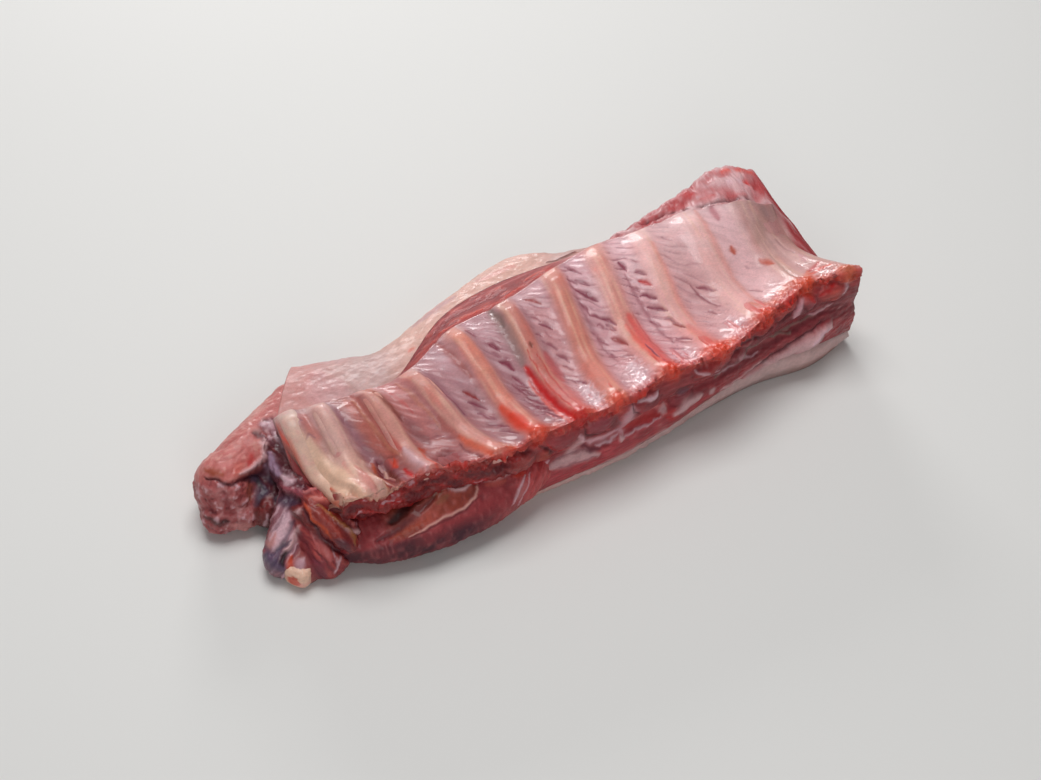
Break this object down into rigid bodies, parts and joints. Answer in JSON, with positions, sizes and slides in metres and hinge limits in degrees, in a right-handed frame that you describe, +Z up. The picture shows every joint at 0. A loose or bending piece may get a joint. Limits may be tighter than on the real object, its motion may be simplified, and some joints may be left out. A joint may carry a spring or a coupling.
{
  "type": "raw pork ribs",
  "caption": "Raw bone-in slab of pork ribs lying rib side up, its curved rib bones set side by side in lean meat over a layer of fat.",
  "frame": {"origin": "middle of the underside of the slab's box, on the surface it lies on", "axes": "+X along the slab from its shoulder end to its loin end, +Y from the near cut edge to the far one, +Z up out of the rib side"},
  "size_m": [0.3822, 0.1562, 0.0636],
  "materials": {
    "lean_meat": "wet raw lean meat with streaks and seams, under a glossy pale membrane between the ribs",
    "fat": "soft moist fat, pale pink to white",
    "bone": "moist bone under a thin pale membrane"
  },
  "bodies": {
    "root": {"meat": "lean_meat", "fat_layer": "fat", "rib_01": "bone", "rib_02": "bone", "rib_03": "bone", "rib_04": "bone", "rib_05": "bone", "rib_06": "bone", "rib_07": "bone", "rib_08": "bone", "rib_09": "bone", "rib_10": "bone", "rib_11": "bone", "rib_12": "bone", "neck_bone": "bone"}
  },
  "joints": []
}
